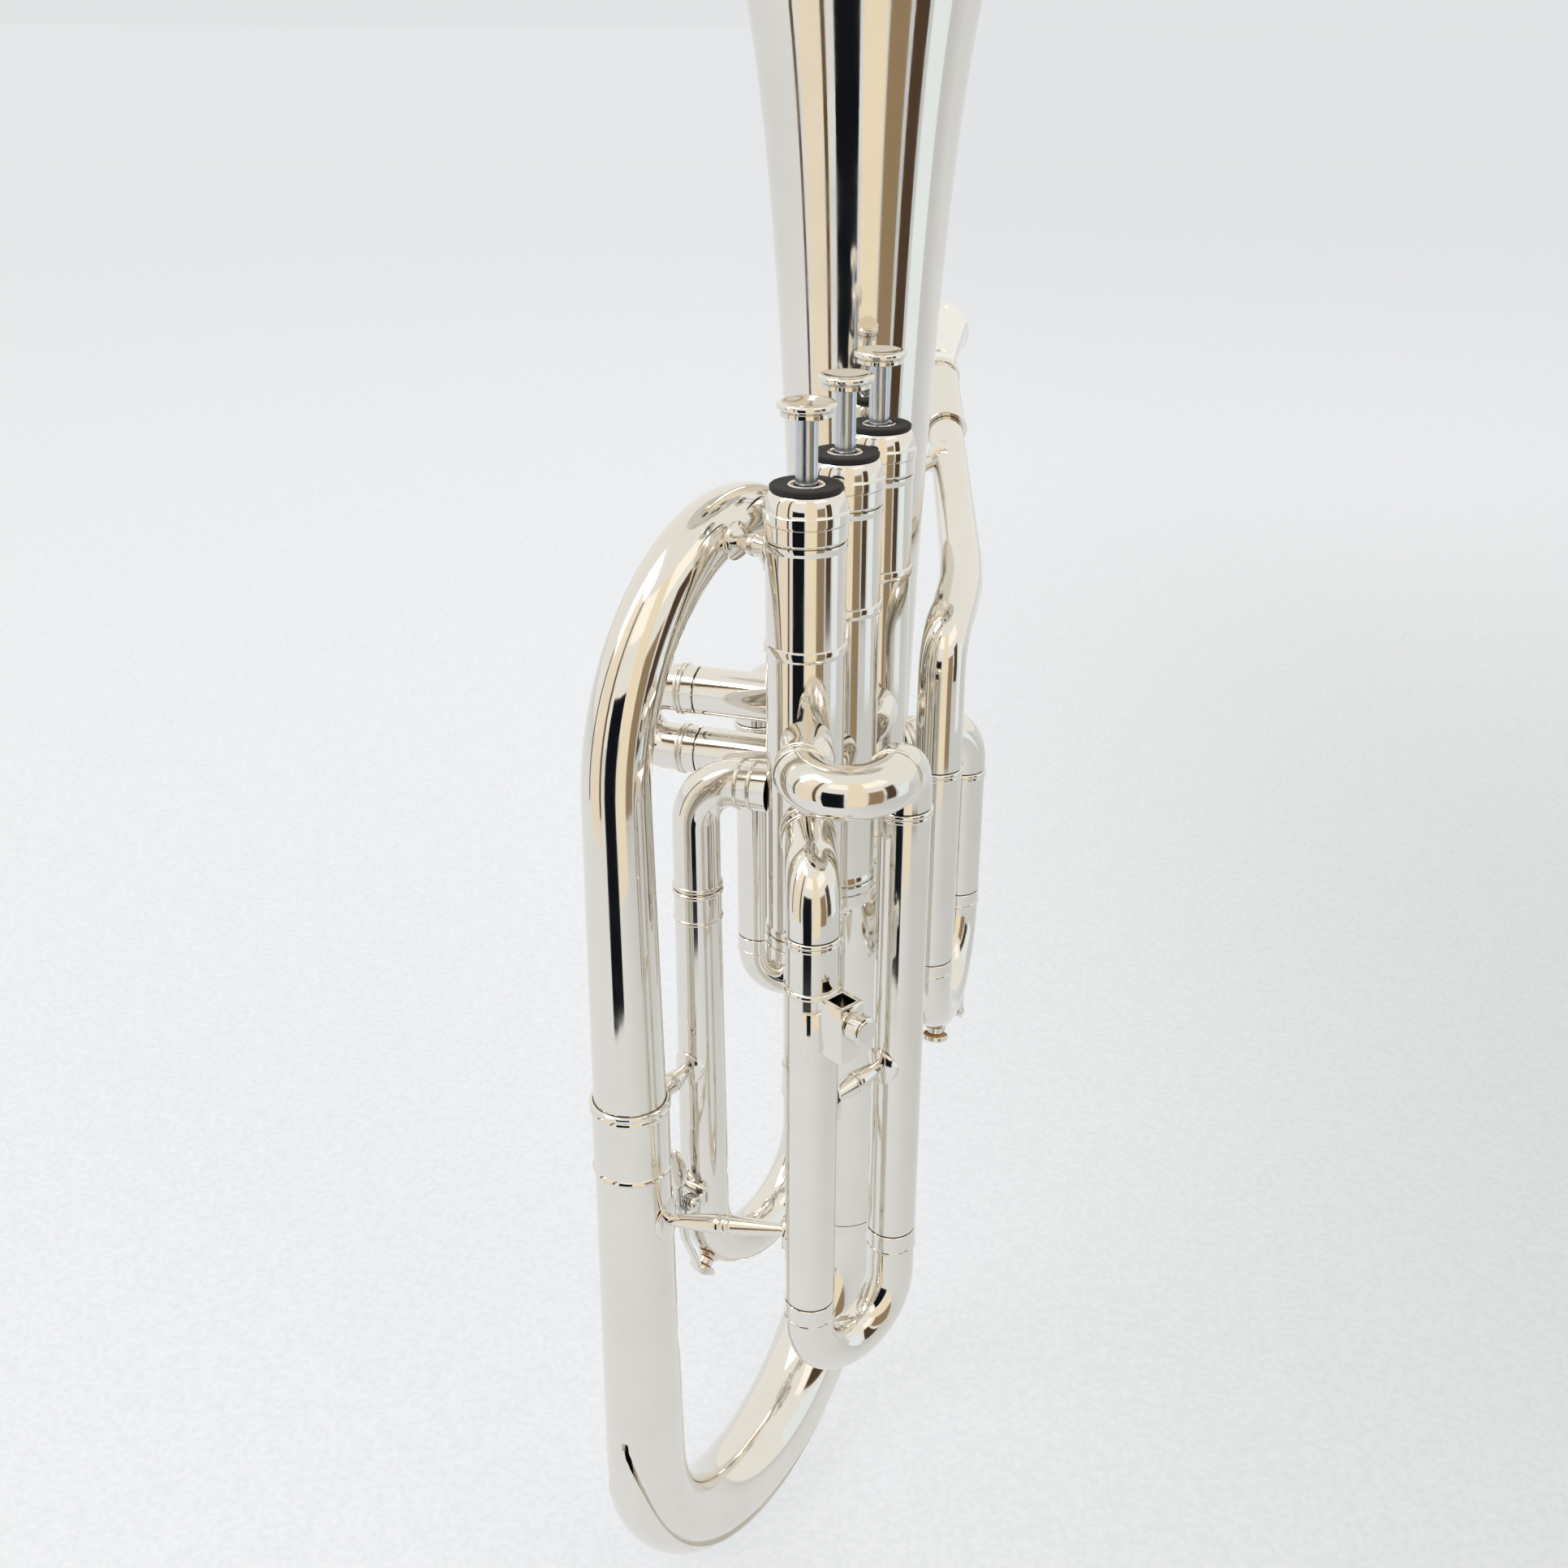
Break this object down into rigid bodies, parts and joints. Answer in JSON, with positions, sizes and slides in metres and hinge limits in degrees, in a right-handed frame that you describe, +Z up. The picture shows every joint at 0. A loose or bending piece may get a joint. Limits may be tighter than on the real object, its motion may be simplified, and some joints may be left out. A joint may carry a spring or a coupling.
{
  "type": "alto horn",
  "caption": "Upright brass alto horn with piston valves, tuning slides, water keys and a removable mouthpiece, bell facing up.",
  "frame": {"origin": "on the middle valve's axis, where the hand holds the valve casings", "axes": "+Z up along the bell, +Y along the valve row towards the mouthpiece, +X to the leadpipe's side"},
  "size_m": [0.2048, 0.293, 0.5677],
  "materials": {
    "nickel_plate": "bright nickel plate on brass",
    "silver_plate": "bright silver plate on brass",
    "monel": "ground and lapped monel",
    "spring_steel": "drawn spring wire"
  },
  "bodies": {
    "horn": {"bell": "nickel_plate", "bell_brace": "nickel_plate", "bottom_bow": "nickel_plate", "bottom_cap_1": "nickel_plate", "bottom_cap_2": "nickel_plate", "bottom_cap_3": "nickel_plate", "bow_guard": "nickel_plate", "branch_ferrule": "nickel_plate", "first_elbow_far": "nickel_plate", "first_elbow_near": "nickel_plate", "first_sleeve_far": "nickel_plate", "first_sleeve_near": "nickel_plate", "knuckle_1_2": "nickel_plate", "knuckle_2_3": "nickel_plate", "leadpipe": "nickel_plate", "lower_branch_brace": "nickel_plate", "lyre_box": "nickel_plate", "main_elbow": "nickel_plate", "main_sleeve_back": "nickel_plate", "main_sleeve_front": "nickel_plate", "mouthpiece_receiver": "nickel_plate", "outer_branch": "nickel_plate", "riser": "nickel_plate", "second_sleeve_lower": "nickel_plate", "second_sleeve_upper": "nickel_plate", "slide_brace": "nickel_plate", "small_bow": "nickel_plate", "small_key_spring": "spring_steel", "third_crook": "nickel_plate", "third_elbow": "nickel_plate", "third_sleeve_left": "nickel_plate", "third_sleeve_right": "nickel_plate", "top_bow": "nickel_plate", "top_bow_brace": "nickel_plate", "top_cap_1": "nickel_plate", "top_cap_2": "nickel_plate", "top_cap_3": "nickel_plate", "upper_branch_brace": "nickel_plate", "valve_casing_1": "nickel_plate", "valve_casing_2": "nickel_plate", "valve_casing_3": "nickel_plate", "valve_elbow": "nickel_plate", "valve_spring_1": "spring_steel", "valve_spring_2": "spring_steel", "valve_spring_3": "spring_steel"},
    "piston_1": {"piston_1": "monel", "finger_button_1": "nickel_plate"},
    "piston_2": {"piston_2": "monel", "finger_button_2": "nickel_plate"},
    "piston_3": {"piston_3": "monel", "finger_button_3": "nickel_plate"},
    "main_slide": {"main_slide": "nickel_plate", "main_key_spring": "spring_steel"},
    "main_water_key": {"main_water_key": "nickel_plate"},
    "small_water_key": {"small_water_key": "nickel_plate"},
    "first_slide": {"first_slide": "nickel_plate"},
    "second_slide": {"second_slide": "nickel_plate"},
    "third_slide": {"third_slide": "nickel_plate"},
    "mouthpiece": {"mouthpiece": "silver_plate"},
    "lyre_screw": {"lyre_screw": "nickel_plate"}
  },
  "joints": [
    {"name": "valve_1_press", "type": "slide", "parent": "horn", "child": "piston_1", "axis": [0, 0, -1], "range_m": [0, 0.0155], "stiffness_N_per_m": 100, "springref_m": -0.03, "deforming": ["valve_spring_1"]},
    {"name": "valve_2_press", "type": "slide", "parent": "horn", "child": "piston_2", "axis": [0, 0, -1], "range_m": [0, 0.0155], "stiffness_N_per_m": 100, "springref_m": -0.03, "deforming": ["valve_spring_2"]},
    {"name": "valve_3_press", "type": "slide", "parent": "horn", "child": "piston_3", "axis": [0, 0, -1], "range_m": [0, 0.0155], "stiffness_N_per_m": 100, "springref_m": -0.03, "deforming": ["valve_spring_3"]},
    {"name": "first_slide_pull", "type": "slide", "parent": "horn", "child": "first_slide", "axis": [0, 0, -1], "range_m": [0, 0.035]},
    {"name": "second_slide_pull", "type": "slide", "parent": "horn", "child": "second_slide", "axis": [-1, 0, 0], "range_m": [0, 0.012]},
    {"name": "third_slide_pull", "type": "slide", "parent": "horn", "child": "third_slide", "axis": [0, 0, -1], "range_m": [0, 0.05]},
    {"name": "main_slide_pull", "type": "slide", "parent": "horn", "child": "main_slide", "axis": [0, 0, -1], "range_m": [0, 0.03]},
    {"name": "mouthpiece_pull", "type": "slide", "parent": "horn", "child": "mouthpiece", "axis": [-0.2902, 0.8906, 0.3502], "range_m": [0, 0.02]},
    {"name": "small_water_key_swing", "type": "hinge", "parent": "horn", "child": "small_water_key", "pos_m": [-0.03573, -0.04498, -0.1518], "axis": [-0.9468, 0.3217, 0], "range_deg": [0, 12], "stiffness_Nm_per_rad": 0.05, "springref_deg": -34.38},
    {"name": "main_water_key_swing", "type": "hinge", "parent": "main_slide", "child": "main_water_key", "pos_m": [0.02326, 0.05288, -0.1316], "axis": [0.9993, 0.0378, 0], "range_deg": [0, 12], "stiffness_Nm_per_rad": 0.05, "springref_deg": -34.38},
    {"name": "lyre_screw_turn", "type": "hinge", "parent": "horn", "child": "lyre_screw", "pos_m": [0.02353, -0.0785, -0.0555], "axis": [0.866, -0.5, 0], "continuous": true}
  ]
}
